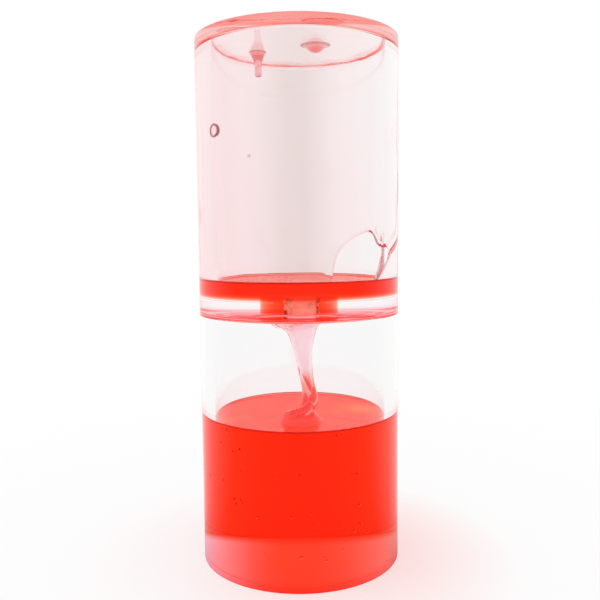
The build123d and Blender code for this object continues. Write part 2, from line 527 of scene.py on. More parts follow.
def gel_look(name, gel, loss, side, low, high, tint=None, level=0.0, depth=None):
    """Clear red gel. At the side radius and at the levels low and high it touches what
    it wets, so there its surface neither bends nor mirrors light."""
    look = material(name)
    x, y, z = look.place()
    radius = (x * x + y * y).root()
    near = HAIR / 2
    touching = (radius > side - near).larger(z < low + near).larger(z > high - near)
    free = wetted = WHITE
    if tint == "blush":
        # Deeper red low in the strand
        free = look.mix(look.ramp(z, 57.5 * MM, 53 * MM), gel.blush, (0.97, 0.28, 0.23))
    elif tint == "rim":
        # Painted shade: a dark ring round each droplet
        free = look.mix(look.edge(), WHITE, (0.22, 0.05, 0.07))
    elif tint == "drop":
        # Painted shade at the root and the tip, and a painted highlight down the long drop's left
        # side
        body = look.mix(look.pattern(400), (1.0, 0.58, 0.52), (1.0, 0.42, 0.36))
        painted_highlight = look.ramp(z, level - 1.4 * MM, level - 2.6 * MM) * (x < 0)
        pale = look.mix(painted_highlight, body, (1.0, 0.95, 0.96))
        tip = look.ramp(z, level - 6.9 * MM, level - 7.2 * MM)
        root = look.ramp(z, level - 0.6 * MM, level - 0.1 * MM)
        free = look.mix(root.larger(tip), pale, (0.5, 0.1, 0.09))
    elif tint == "pool":
        # Painted shade: a red line on the gel where the pool climbs, and a dark brim on the wall
        # under it
        line = look.ramp(z, level + 0.15 * gel.climb, level + 0.4 * gel.climb)
        free = look.mix(line, WHITE, (0.88, 0.12, 0.1))
        brim = look.ramp(z, level - 0.15 * MM, level + 0.1 * MM)
        wetted = look.mix(brim, WHITE, (0.55, 0.05, 0.04))
    elif tint == "shade":
        # Painted shade: grey in the middle, in soft streaks; pink at the sides; and painted shade
        # lines, pink and then dark red, along the run and the rim of the patch
        streak = look.ramp(look.pattern(60, 2.0, (1, 1, 0.08)), 0.3, 0.7, 0.6, 1.0)
        shade = look.ramp((x + MM).size(), 3 * MM, 13 * MM, 1.0, 0.0) * streak
        flush = look.ramp((x + 3 * MM).size(), 21 * MM, 25 * MM, 1.0, 0.0)
        plain = look.mix(shade, look.mix(flush, WHITE, (1, 0.94, 0.94)), (0.84, 0.79, 0.77))
        edge = look.edge()
        flushed = look.mix(look.ramp(edge, 0.0, 0.35), plain, (1.0, 0.6, 0.62))
        free = look.mix(look.ramp(edge, 0.35, 1.0), flushed, (0.28, 0.012, 0.018))
    ripple = look.bump(look.pattern(220), 0.01 * MM)
    bending = look.clear(free, gel.refraction, Normal=ripple)
    surface = look.blend(touching, bending, look.clear(wetted, 1.0))
    if tint == "pool":
        # A painted red glow on the pool's surface, in faint clouds, for the red light that the pool
        # gives back there
        cloud = look.ramp(look.pattern(60, 3.0), 0.56, 0.72)
        red = look.light(look.mix(cloud, (1.0, 0.045, 0.004), (1.0, 0.2, 0.02)))
        face = (z > level - near) * (1 - touching) * (1 - line) * 0.58
        surface = look.blend(face, surface, red)
    density = max(loss)
    colour = [1 - share / density for share in loss]
    taken = look.node("ShaderNodeVolumeAbsorption", {"Color": tone(colour), "Density": density})
    # The gel's painted glow: its volume gives off red light, with a little of its depth colour,
    # under any lamp
    own = [share * deep / gel.glow for share, deep in zip(loss, depth or gel.depth_colour)]
    given = look.light((1, own[1], own[2]), gel.glow)
    return look.finish(surface, look.node("ShaderNodeAddShader", {0: taken, 1: given}))


def core_look(gel):
    """The wet face round the air in the hole: a painted glow in patches, for the light that
    it scatters, and painted shade in dark patches on its two sides."""
    look = material("gel_core")
    sides = look.ramp((look.place()[0] - 0.5 * MM).size(), 2.7 * MM, 3.3 * MM)
    side_shade = sides * look.ramp(look.pattern(420), 0.42, 0.5, 0.2, 1.0)
    side_shaded = look.mix(side_shade, gel.blush, (0.25, 0.01, 0.01))
    ripple = look.bump(look.pattern(500), 0.05 * MM)
    # Share of the painted glow, kept off the painted shade
    share = look.ramp(look.pattern(300), 0.3, 0.7, 0.35, 0.85) * (1 - side_shade)
    clear = look.clear(side_shaded, gel.refraction, Normal=ripple)
    wet = look.blend(share, clear, look.light((1, 0.8, 0.84)))
    # A dark sheet of painted shade in patches on the two sides
    painted_shade = look.node("ShaderNodeBsdfDiffuse", {"Color": (0.24, 0.015, 0.012, 1)})
    shade_patches = sides * look.ramp(look.pattern(420), 0.48, 0.58, 0.0, 0.85)
    return look.finish(look.blend(shade_patches, wet, painted_shade))


# Pieces


class TIMER_OT_discs(Operator):
    """Turn the end discs and the divider with its hole"""

    bl_idname = "timer.discs"
    bl_label = "Discs"

    def execute(self, context):
        body = context.scene.timer_body
        groove, edge, overall = body.joint_groove, body.edge_round, top("top_disc")
        outlines = {
            "bottom": [
                (0, 0, 0, OPEN),
                (OUTER, 0, edge, FOOT),
                (OUTER, FLOOR_OF_LOWER, groove, JOINED),
                (BORE, FLOOR_OF_LOWER, 0, WET),
                (0, FLOOR_OF_LOWER, 0, OPEN),
            ],
            "top": [
                (0, CEILING, 0, WET),
                (BORE, CEILING, 0, JOINED),
                (OUTER, CEILING, groove, OPEN),
                (OUTER, overall, edge, OPEN),
                (0, overall, 0, OPEN),
            ],
            "divider": [
                (HOLE, DIVIDER_BASE, 0, WET),
                (BORE, DIVIDER_BASE, 0, JOINED),
                (OUTER, DIVIDER_BASE, groove, OPEN),
                (OUTER, DIVIDER_TOP, groove, JOINED),
                (BORE, DIVIDER_TOP, 0, WET),
                (HOLE, DIVIDER_TOP, 0, WET),
            ],
        }
        for name, corners in outlines.items():
            turn_clear(context, name + "_plate", corners, name + "_disc")
        return {"FINISHED"}


# Height up to which the lower wall takes the foot's skin, with its painted glow for the light from
# the ground
FOOT_HEIGHT = 18 * MM


class TIMER_OT_tubes(Operator):
    """Turn the two clear tubes"""

    bl_idname = "timer.tubes"
    bl_label = "Tubes"

    def execute(self, context):
        gel = context.scene.timer_gel
        groove = context.scene.timer_body.joint_groove
        low, high = base("lower_tube"), top("lower_tube")
        corners = [
            (BORE, low, 0, JOINED),
            (OUTER, low, groove, FOOT),
            (OUTER, FOOT_HEIGHT, 0, OPEN),
            (OUTER, high, groove, JOINED),
            (BORE, high, 0, WET),
            (BORE, DIVIDER_FOOT, 0, OPEN),
            (BORE, LOWER_POOL_LEVEL + gel.climb, 0, WET),
        ]
        turn_clear(context, "lower_wall", corners, "lower_tube")

        film = Film(gel)
        low, high = base("upper_tube"), top("upper_tube")
        heights = [height for height in reversed(film.heights) if low < height < high]
        corners = [
            (BORE, low, 0, JOINED),
            (OUTER, low, groove, OPEN),
            (OUTER, high, groove, JOINED),
            (BORE, high, 0, WET),
            *((BORE, height, 0, film.bore_skin) for height in heights),
        ]
        shell = Shell(film.angles)
        rows, bands = rounded(corners)
        bands[-1] = WET
        shell.turn(rows, bands)
        tube = shell.piece("upper_wall", *clear_skins(context.scene))
        finish_piece(tube, "clear_acrylic", "upper_tube")
        return {"FINISHED"}


class TIMER_OT_cement(Operator):
    """Lay the four rings of cement in the joints"""

    bl_idname = "timer.cement"
    bl_label = "Cement"

    def execute(self, context):
        rim = OUTER - context.scene.timer_body.joint_groove
        for node in ("bottom_seam", "divider_lower_seam", "divider_upper_seam", "top_seam"):
            low, high = base(node) + HAIR, top(node) - HAIR
            corners = [
                (BORE, low, 0, JOINED),
                (rim, low, 0, OPEN),
                (rim, high, 0, JOINED),
                (BORE, high, 0, WET),
            ]
            turn_clear(context, node.replace("seam", "cement"), corners, node, "clear_cement")
        return {"FINISHED"}


def climbing(rim, level, gel, steps=7):
    """Rows of a pool's surface, from its rim on the wall down to its level. rim gives
    the radius of the rim for an angle."""

    def row(turn):
        inwards = gel.climb_width * (1 - cos(turn))
        height = level + gel.climb * (1 - sin(turn))
        return lambda angle: (rim(angle) - inwards, height)

    return [row(pi / 2 * step / steps) for step in range(steps + 1)]


# Thickness of gel at the rim of the lower pool
THIN_RIM = 0.03 * MM
# Levels of the uneven face round the air in the hole
CORE_STEPS = 12


class TIMER_OT_pools(Operator):
    """Fill the two pools of gel and the hole between them"""

    bl_idname = "timer.pools"
    bl_label = "Pools"

    def execute(self, context):
        gel = context.scene.timer_gel
        gap, film = gel.skin_gap, Film(gel)
        side, high = BORE - gap, film.bottom - HAIR
        angles = even_angles(context.scene.timer_body.turns)
        rim = lambda angle: side - THIN_RIM
        colours = gel.deep_loss, gel.depth_colour
        levels = FLOOR_OF_LOWER + gap, LOWER_POOL_LEVEL, CEILING
        self.pool(gel, "lower", angles, rim, *levels, *colours)
        rim = lambda angle: side - film.depth(angle, high)
        colours = gel.shallow_loss, gel.shallow_colour
        levels = DIVIDER_TOP + gap, UPPER_POOL_LEVEL - HAIR, high
        self.pool(gel, "upper", film.angles, rim, *levels, *colours)

        low, high = DIVIDER_BASE + gap, DIVIDER_TOP - gap
        loss = [share * 1.5 for share in gel.shallow_loss]
        look = gel_look("gel_in_hole", gel, loss, HOLE - gap, low, high)
        shell = Shell(angles)
        levels = [low + (high - low) * step / CORE_STEPS for step in range(CORE_STEPS + 1)]
        rows = [self.core(gel, height) for height in reversed(levels)]
        rows = [(HOLE - gap, low), (HOLE - gap, high), *rows]
        shell.turn(rows, [0, 0] + [1] * CORE_STEPS + [0])
        lining = shell.piece("gel_in_hole", look, core_look(gel))
        finish_piece(lining, "red_gel", "orifice_gel")
        return {"FINISHED"}

    def pool(self, gel, part, angles, rim, low, level, high, loss, deep):
        """Fills a pool from low up to level; high is where other gel lies on its rim."""
        side = BORE - gel.skin_gap
        look = gel_look(f"gel_{part}_pool", gel, loss, side, low, high, "pool", level, deep)
        shell = Shell(angles)
        rows = [(0, low), (side, low), (side, level + gel.climb)]
        shell.turn([*rows, *climbing(rim, level, gel), (0, level)])
        finish_piece(shell.piece(part + "_pool", look), "red_gel", part + "_gel")

    def core(self, gel, height):
        """A row of the uneven face round the air core at a height."""

        def row(angle):
            around = Vector((sin(angle), cos(angle), height / MM * 0.5))
            radius = gel.air_core + 0.5 * MM * (1 + sin(angle) + noise.noise(around * 1.3))
            return radius, height

        return row


# The film on the upper wall

# Outline of the bare patch: turn from the front in degrees, height over the pool
PATCH = [
    (18.5, -3.0), (19.6, 2.1), (20.7, 4.1), (22.5, 7.9), (28.0, 10.9), (35.9, 12.8),
    (43.0, 13.8), (47.6, 13.6), (51.4, 11.6), (53.6, 9.9), (58.0, 9.5), (64.2, 9.4),
    (64.4, 6.9), (60.0, 4.6), (56.0, 2.3), (51.8, 0.0), (49.0, -3.0),
]
# The run of gel beside the patch, given in the same way
RUN = [
    (98.0, 13.6), (90.0, 12.2), (81.9, 10.6), (74.8, 9.1), (68.8, 7.8), (63.6, 5.4),
    (58.4, 2.6), (54.0, 0.4), (51.0, -1.5),
]
# The trail under the large droplet
TRAIL = [(303.0, 40.0), (304.0, 24.0), (303.5, 8.0)]
# Turns between which each of them lies
PATCH_SPAN = (15, 75)
RUN_SPAN = (46, 105)
TRAIL_SPAN = (296, 311)
# Height over the pool's rim that holds the patch
PATCH_HEIGHT = 16 * MM


def within(angle, span):
    return radians(span[0]) < angle < radians(span[1])


class Film:
    """The film of gel on the upper wall: its grid and its thickness at each place."""

    def __init__(self, gel):
        self.gel = gel
        self.side = BORE - gel.skin_gap
        self.bottom = UPPER_POOL_LEVEL + gel.climb
        self.top = top("wall_film")
        self.patch, self.run, self.trail = (
            [self.spot(radians(turn), height * MM + UPPER_POOL_LEVEL) for turn, height in line]
            for line in (PATCH, RUN, TRAIL)
        )
        for _ in range(2):
            self.patch = self.smooth(self.patch)
        self.angles = self.spread_angles()
        self.heights = self.spread_heights()

    def spot(self, angle, height):
        """A place on the unrolled wall."""
        return Vector((angle * BORE, height))

    def smooth(self, outline):
        """Cuts the corners of an outline."""
        pairs = zip(outline, following(outline))
        return [here.lerp(there, share) for here, there in pairs for share in (0.25, 0.75)]

    def spread_angles(self):
        """Angles close together at the patch and wide apart elsewhere."""
        angles, angle = [], 0.0
        while angle < 2 * pi - radians(0.3):
            angles.append(angle)
            close = radians(15) <= angle < radians(102)
            angle += radians(0.6 if close else 1.5)
        return angles

    def spread_heights(self):
        """Heights close together at the patch and wide apart over it."""
        heights, height = [], self.bottom
        while height < self.top - 0.2 * MM:
            heights.append(height)
            height += 0.3 * MM if height < self.bottom + 14 * MM else 1.6 * MM
        return [*heights, self.top]

    def edge_distance(self, spot):
        """Distance from the outline of the patch, negative inside it."""
        nearest, inside = 1.0, False
        for here, there in zip(self.patch, following(self.patch)):
            nearest = min(nearest, distance_to(spot, here, there))
            if (here.y > spot.y) != (there.y > spot.y):
                cross = here.x + (spot.y - here.y) / (there.y - here.y) * (there.x - here.x)
                inside ^= spot.x < cross
        return -nearest if inside else nearest

    def near_patch(self, angle, height):
        return within(angle, PATCH_SPAN) and height < self.bottom + PATCH_HEIGHT

    def is_bare(self, angle, height):
        near = self.near_patch(angle, height)
        return near and self.edge_distance(self.spot(angle, height)) < 0

    def bore_skin(self, middle):
        """The skin of the tube's bore behind the film."""
        angle = atan2(middle.x, -middle.y) % (2 * pi)
        return OPEN if self.is_bare(angle, middle.z) else WET

    def edge(self, angle, height):
        """How near a place is to the run or to the rim of the patch, from 0 to 1."""
        spot = self.spot(angle, height)
        near = 0.0
        if self.near_patch(angle, height):
            gap = self.edge_distance(spot)
            turn = clamp((degrees(angle) - 44) / 6)
            width = (0.55 - 0.3 * turn) * MM
            upper = clamp(((height - UPPER_POOL_LEVEL) / MM - 5.5) / 3, low=0.1)
            near = (0.3 + 0.6 * turn * upper) * bell(gap - 0.1 * MM, width)
        if within(angle, RUN_SPAN):
            width = (0.2 + 0.02 * (degrees(angle) - 48)) * MM
            near = max(near, bell(distance_off(spot, self.run), width))
        return near

    def depth(self, angle, height):
        """Thickness of the film at a place."""
        gel = self.gel
        share = (height - self.bottom) / (self.top - self.bottom)
        depth = gel.film_low + (gel.film_high - gel.film_low) * share
        depth -= gel.film_lean * sin(angle)
        middle = min(1.0, 8 * share, 8 * (1 - share))
        around = Vector((sin(angle), -cos(angle), 0))
        streak = noise.noise(around * 5 + Vector((0, 0, height / MM * 0.03)))
        blotch = noise.noise(around * 9 + Vector((4, 2, height / MM * 0.11)))
        depth += gel.film_ripple * middle * (streak + 0.6 * blotch)
        spot = self.spot(angle, height)
        if self.near_patch(angle, height):
            gap = max(self.edge_distance(spot), 0)
            turn = clamp((degrees(angle) - 32) / 16)
            taper = (1.5 - 0.8 * turn) * MM
            depth *= 1 - exp(-((gap / taper) ** 1.5))
            ridge = (0.08 + 0.3 * turn) * MM
            depth += ridge * bell(gap - 0.6 * MM, 0.4 * MM)
        if within(angle, RUN_SPAN):
            depth += 0.5 * MM * bell(distance_off(spot, self.run), 0.5 * MM)
        if within(angle, TRAIL_SPAN):
            depth += 0.12 * MM * bell(distance_off(spot, self.trail), 0.9 * MM)
        return max(depth, THIN_RIM)


def distance_to(spot, start, end):
    """Distance from a place to the line between two others."""
    line = end - start
    share = clamp((spot - start).dot(line) / line.length_squared)
    return (spot - start - line * share).length


def distance_off(spot, line):
    """Distance from a place to a line of several parts."""
    return min(distance_to(spot, *pair) for pair in zip(line, line[1:]))


class TIMER_OT_wall_film(Operator):
    """Spread the film of gel on the upper wall, with its bare patch and its run"""

    bl_idname = "timer.wall_film"
    bl_label = "Wall Film"

    def execute(self, context):
        gel = context.scene.timer_gel
        film = Film(gel)
        count = len(film.angles)
        shell = Shell(film.angles)
        outer = [shell.ring((film.side, height)) for height in film.heights]
        inner = [
            shell.ring(lambda angle, height=height: (film.side - film.depth(angle, height), height))
            for height in film.heights
        ]
        kept = {}
        for row, heights in enumerate(zip(film.heights, film.heights[1:])):
            for column, angles in enumerate(zip(film.angles, film.angles[1:] + [2 * pi])):
                kept[row, column] = not film.is_bare(sum(angles) / 2, sum(heights) / 2)
        for (row, column), covered in kept.items():
            if not covered:
                continue
            beside = (column + 1) % count
            corners = [(row, column), (row, beside), (row + 1, beside), (row + 1, column)]
            shell.add([outer[r][c] for r, c in corners])
            shell.add([inner[r][c] for r, c in reversed(corners)])
            before = (column - 1) % count
            beyond = [(row - 1, column), (row, beside), (row + 1, column), (row, before)]
            for (r1, c1), (r2, c2), cell in zip(corners, following(corners), beyond):
                if not kept.get(cell):
                    shell.add([outer[r2][c2], outer[r1][c1], inner[r1][c1], inner[r2][c2]])
        edges = [film.edge(angle, height) for height in film.heights for angle in film.angles]
        ends = film.bottom, film.top
        look = gel_look("gel_wall_film", gel, gel.thin_loss, film.side, *ends, "shade")
        piece = shell.piece("wall_coat", look)
        measure(piece.data, [0.0] * len(edges) + edges)
        with opened(piece.data) as shape:
            loose = [point for point in shape.verts if not point.link_faces]
            bmesh.ops.delete(shape, geom=loose, context="VERTS")
        finish_piece(piece, "red_gel_film", "wall_film", "wall_run")
        return {"FINISHED"}


def measure(mesh, edges):
    """Gives a mesh its measure of nearness to an edge, point by point."""
    mesh.attributes.new("edge", "FLOAT", "POINT").data.foreach_set("value", edges)


def coat(name, angles, rim, foot, high, sheet, gel, look):
    """A film of gel under a ceiling: it rises from the foot at the rim in a hollow
    curve and goes on along the sheet, pairs of radius and level from the outermost to
    the one on the axis."""
    side = BORE - gel.skin_gap
    width, level = sheet[0]

    def corner(turn):
        def row(angle):
            edge = rim(angle)
            radius = edge - (edge - width) * (1 - cos(turn))
            return radius, foot + (level - foot) * sin(turn)

        return row

    def flat(radius, height):
        return lambda angle: (radius, height + sheet_ripple(angle, radius, gel))

    steps = 8
    rows = [corner(pi / 2 * step / steps) for step in range(steps + 1)]
    rows += [flat(*spot) for spot in sheet[1:-1]]
    rows += [sheet[-1], (0, high), (side, high), (side, foot)]
    shell = Shell(angles)
    shell.turn(rows[::-1], [0] * len(rows))
    return shell.piece(name, look)


def sheet_ripple(angle, radius, gel):
    """Unevenness of a film under a ceiling."""
    spot = Vector((radius * sin(angle), radius * cos(angle), 0)) / MM
    inner = min(1.0, max(0.0, radius / MM - 13) / 3)
    return 0.3 * gel.ceiling_film * noise.noise(spot * 0.12) * inner


# Radii of the ceiling film, in millimetres
SHEET = (24.5, 21.0, 17.0, 12.0, 7.0, 3.0, 0.0)
# Depth in millimetres under the divider at which its coat meets the strand
NECK_DEPTH = 1.2
# Radius and depth of the coat under the divider, from its corner to its middle
ROOT = [
    (24.7, 0.24), (21.0, 0.24), (20.4, 0.5), (19.8, 0.26), (16.6, 0.28), (16.0, 0.55),
    (15.4, 0.32), (12.8, 0.58), (11.6, 0.78), (10.8, 0.98), (10.2, NECK_DEPTH),
    (9.0, NECK_DEPTH), (8.6, 0.8), (6.0, 0.55), (3.0, 0.5), (0.0, 0.5),
]


class TIMER_OT_ceiling_gel(Operator):
    """Coat the ceilings of both chambers with gel"""

    bl_idname = "timer.ceiling_gel"
    bl_label = "Ceiling Gel"

    def execute(self, context):
        gel = context.scene.timer_gel
        film = Film(gel)
        foot, high = film.top + HAIR, CEILING - gel.skin_gap
        look = gel_look("gel_ceiling", gel, gel.ceiling_loss, film.side, foot, high)
        sheet = [(radius * MM, CEILING - gel.ceiling_film) for radius in SHEET]
        rim = lambda angle: film.side - film.depth(angle, film.top)
        piece = coat("ceiling_coat", film.angles, rim, foot, high, sheet, gel, look)
        finish_piece(piece, "red_gel_film", "ceiling_gel")

        foot, high = DIVIDER_FOOT, DIVIDER_BASE - gel.skin_gap
        neck = DIVIDER_BASE - NECK_DEPTH * MM
        loss = [share * 1.35 for share in gel.thin_loss]
        look = gel_look("gel_divider", gel, loss, film.side, neck, high)
        sheet = [(radius * MM, DIVIDER_BASE - depth * MM) for radius, depth in ROOT]
        rim = lambda angle: film.side - 2 * HAIR
        angles = even_angles(context.scene.timer_body.turns)
        piece = coat("divider_coat", angles, rim, foot, high, sheet, gel, look)
        finish_piece(piece, "red_gel_film", "divider_gel", "gel_strand")
        return {"FINISHED"}


# Outlines of the hanging drops: radius and depth in millimetres
LONG_PROFILE = [
    (2.7, 0.0), (2.5, 0.25), (2.2, 0.7), (1.85, 1.3), (1.5, 2.0), (1.22, 2.7), (1.06, 3.4),
    (0.98, 4.3), (0.96, 5.2), (1.04, 6.0), (1.08, 6.5), (0.98, 6.95), (0.66, 7.25),
    (0.3, 7.38), (0.0, 7.4),
]
ROUND_PROFILE = [
    (4.6, 0.0), (4.1, 0.12), (3.5, 0.26), (2.95, 0.5), (2.6, 0.82), (2.3, 1.2),
    (1.85, 1.62), (1.3, 1.98), (0.7, 2.22), (0.0, 2.3),
]


class TIMER_OT_ceiling_drops(Operator):
    """Hang the two drops under the ceiling film"""

    bl_idname = "timer.ceiling_drops"
    bl_label = "Ceiling Drops"

    def execute(self, context):
        gel = context.scene.timer_gel
        level = CEILING - gel.ceiling_film
        high = level + 0.06 * MM
        look = gel_look("gel_drops", gel, gel.drop_loss, BORE, 0.0, high, "drop", level)
        for name, node, profile in (
            ("ceiling_drip", "ceiling_drop_long", LONG_PROFILE),
            ("ceiling_bead", "ceiling_drop_round", ROUND_PROFILE),
        ):
            x, y, _ = middle_of(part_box(node))
            shell = Shell(even_angles(64))
            outline = [(radius * MM, -depth * MM) for radius, depth in reversed(profile)]
            shell.turn([*outline, (0, 0)])
            piece = shell.piece(name, look)
            piece.data.transform(Matrix.Translation((x, y, level + 0.1 * MM)))
            finish_piece(piece, "red_gel", node)
        return {"FINISHED"}


# The large and the small droplet: turn from the front in degrees, height, radius and
# how far it stands out, in millimetres
DROPLETS = [(-57, 127.2, 1.9, 0.8), (-29, 119.2, 0.4, 0.3)]


class TIMER_OT_wall_droplets(Operator):
    """Set the large and the small droplet on the upper wall"""

    bl_idname = "timer.wall_droplets"
    bl_label = "Wall Droplets"

    def execute(self, context):
        gel = context.scene.timer_gel
        film = Film(gel)
        look = gel_look("gel_wall_droplets", gel, gel.thin_loss, film.side, 0.0, CEILING, "rim")
        shell = Shell(even_angles(48))
        edges = []
        for turn, height, across, stands in DROPLETS:
            angle = radians(turn)
            wall = film.side - film.depth(angle % (2 * pi), height * MM)
            out = Vector((sin(angle), -cos(angle), 0))
            side = Vector((0, 0, 1)).cross(out)
            shape = Matrix((side, Vector((0, 0, -1)), -out)).transposed().to_4x4()
            shape.translation = out * (wall + 0.12 * MM) + Vector((0, 0, height * MM))
            edges += add_cap(shell, shape, across * MM, stands * MM)
        piece = shell.piece("wall_beads", look)
        measure(piece.data, edges)
        piece.data.shade_smooth()
        finish_piece(piece, "red_gel", "wall_droplets")
        return {"FINISHED"}


def add_cap(shell, shape, across, stands, steps=9):
    """Adds a closed droplet: a rounded cap on a flat foot. Gives each point's nearness
    to its rim."""
    first = len(shell.points)
    rows = [(0, 0), (across * 0.7, 0)]
    for step in range(steps):
        turn = pi / 2 * step / steps
        rows.append((across * cos(turn) ** 0.8, stands * sin(turn)))
    shell.turn([*rows, (0, stands)])
    points = shell.points[first:]
    shell.points[first:] = [tuple(shape @ Vector(point)) for point in points]
    return [clamp((hypot(x, y) / across - 0.7) / 0.15) for x, y, _ in points]


# The gel that falls and piles up

# Centre line in millimetres and radius of the strand from the hole to the pile
STRAND = [
    ((0.0, 0.0, 75.0), 10.6), ((0.1, 0.0, 73.8), 10.0), ((0.2, 0.0, 72.8), 9.4),
    ((0.35, 0.0, 71.8), 8.5), ((0.5, -0.05, 71.0), 7.2), ((0.6, -0.1, 70.2), 5.8),
    ((0.7, -0.2, 69.4), 4.9), ((0.8, -0.3, 68.2), 4.3), ((0.95, -0.6, 66.0), 3.65),
    ((1.1, -1.3, 63.0), 2.95), ((1.5, -2.6, 59.8), 2.4), ((2.0, -4.2, 57.0), 2.0),
    ((2.7, -6.0, 54.2), 1.7), ((3.5, -7.6, 51.6), 1.6), ((3.9, -8.8, 49.6), 1.6),
    ((3.2, -10.6, 48.0), 1.55), ((0.9, -12.6, 47.0), 1.45), ((-2.2, -13.6, 46.3), 1.35),
    ((-3.9, -12.0, 45.9), 1.3), ((-2.4, -9.4, 45.6), 1.3), ((1.2, -8.6, 45.4), 1.3),
    ((4.2, -10.4, 45.2), 1.3), ((4.4, -13.6, 45.0), 1.3), ((1.4, -15.8, 44.8), 1.3),
    ((-2.6, -15.2, 44.7), 1.2), ((-4.6, -12.6, 44.5), 1.1),
]
# Air inside the upper part of the strand, given in the same way
HOLLOW = [
    ((0.0, 0.0, 75.0), 9.2), ((0.1, 0.0, 73.8), 8.8), ((0.2, 0.0, 72.8), 8.3),
    ((0.35, 0.0, 71.9), 7.4), ((0.5, -0.05, 71.2), 6.1), ((0.6, -0.1, 70.4), 4.9),
    ((0.7, -0.2, 69.5), 4.15), ((0.8, -0.3, 68.2), 3.6), ((0.95, -0.6, 66.0), 3.0),
    ((1.1, -1.3, 63.0), 2.3), ((1.5, -2.6, 59.8), 1.65), ((2.0, -4.2, 57.0), 1.15),
    ((2.7, -6.0, 54.2), 0.7), ((3.3, -7.2, 52.2), 0.35), ((3.5, -7.6, 51.4), 0.2),
]
# The fold that hangs beside it
FOLD = [
    ((1.1, -2.0, 61.0), 2.0), ((1.2, -3.4, 58.0), 1.8), ((1.5, -5.0, 55.0), 1.4),
    ((1.9, -6.6, 52.0), 1.15), ((1.9, -8.0, 49.2), 1.3), ((1.4, -9.4, 46.8), 1.8),
    ((0.8, -10.4, 44.0), 2.8),
]
# Radius and height over the pool of the mound under the pile
MOUND = [(0, -1.0), (6.4, -1.0), (6.2, 0.2), (5.5, 0.7), (4.2, 1.1), (2.4, 1.4), (0, 1.6)]


def rope(points):
    """The mesh of a closed tube along points that each have their own radius."""
    data = bpy.data.curves.new("rope", "CURVE")
    data.dimensions = "3D"
    data.bevel_depth = MM
    data.bevel_resolution = 5
    data.resolution_u = 8
    data.use_fill_caps = True
    spline = data.splines.new("NURBS")
    spline.points.add(len(points) - 1)
    for point, (place, radius) in zip(spline.points, points):
        point.co = (*(value * MM for value in place), 1)
        point.radius = radius
    spline.order_u = 3
    spline.use_endpoint_u = True
    curve = linked(bpy.data.objects.new("rope", data))
    mesh = evaluated(curve)
    bpy.data.objects.remove(curve)
    return mesh


def evaluated(piece):
    """The mesh that a piece's curve or modifiers make."""
    graph = bpy.context.evaluated_depsgraph_get()
    return bpy.data.meshes.new_from_object(piece.evaluated_get(graph))


def apply_modifiers(piece):
    """Turns the piece's modifiers into its mesh."""
    mesh = evaluated(piece)
    piece.modifiers.clear()
    piece.data = mesh


def melt(piece):
    """Melts the bodies of a piece into one with a smooth face."""
    remesh = piece.modifiers.new("melt", "REMESH")
    remesh.mode = "VOXEL"
    remesh.voxel_size = 0.22 * MM
    remesh.use_smooth_shade = True
    smooth = piece.modifiers.new("smooth", "SMOOTH")
    smooth.factor = 0.5
    smooth.iterations = 20
    apply_modifiers(piece)


def merge(mesh, other):
    """Adds the faces of another mesh to a mesh."""
    with opened(mesh) as shape:
        shape.from_mesh(other)


def cut_flat(mesh, level, keep):
    """Cuts a mesh at a level and closes it there; keep 1 keeps what is above."""
    with opened(mesh) as shape:
        cut = bmesh.ops.bisect_plane(
            shape,
            geom=shape.verts[:] + shape.edges[:] + shape.faces[:],
            plane_co=(0, 0, level),
            plane_no=(0, 0, -keep),
            clear_outer=True,
        )
        edges = [part for part in cut["geom_cut"] if isinstance(part, bmesh.types.BMEdge)]
        bmesh.ops.triangle_fill(shape, edges=edges, use_beauty=True)
        for face in shape.faces:
            at_level = abs(face.calc_center_median().z - level) < LEVEL_FACE
            if at_level and face.normal.z * keep > 0:
                face.normal_flip()


class TIMER_OT_falling_gel(Operator):
    """Melt the strand, its folds and the pile into one body of gel"""

    bl_idname = "timer.falling_gel"
    bl_label = "Falling Gel"

    def execute(self, context):
        gel = context.scene.timer_gel
        shell = Shell(even_angles(64))
        level = LOWER_POOL_LEVEL / MM
        shell.turn([(radius * MM, (height + level) * MM) for radius, height in MOUND])
        piece = shell.piece("falling_gel")
        x, y, _ = middle_of(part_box("gel_pile"))
        piece.data.transform(Matrix.Translation((x, y, 0)))
        for points in (STRAND, FOLD):
            merge(piece.data, rope(points))
        melt(piece)
        void = linked(bpy.data.objects.new("hollow", rope(HOLLOW)))
        melt(void)
        void.data.flip_normals()
        merge(piece.data, void.data)
        bpy.data.objects.remove(void)
        high = DIVIDER_BASE - NECK_DEPTH * MM - HAIR
        cut_flat(piece.data, high, -1)
        cut_flat(piece.data, LOWER_POOL_LEVEL - 0.1 * MM, 1)
        piece.data.shade_smooth()
        piece.data.set_sharp_from_angle(angle=radians(50))
        look = gel_look("gel_falling", gel, gel.falling_loss, BORE, 0.0, high, "blush")
        piece.data.materials.append(look)
        finish_piece(piece, "red_gel", "gel_strand", "gel_pile")
        return {"FINISHED"}


# Bubbles


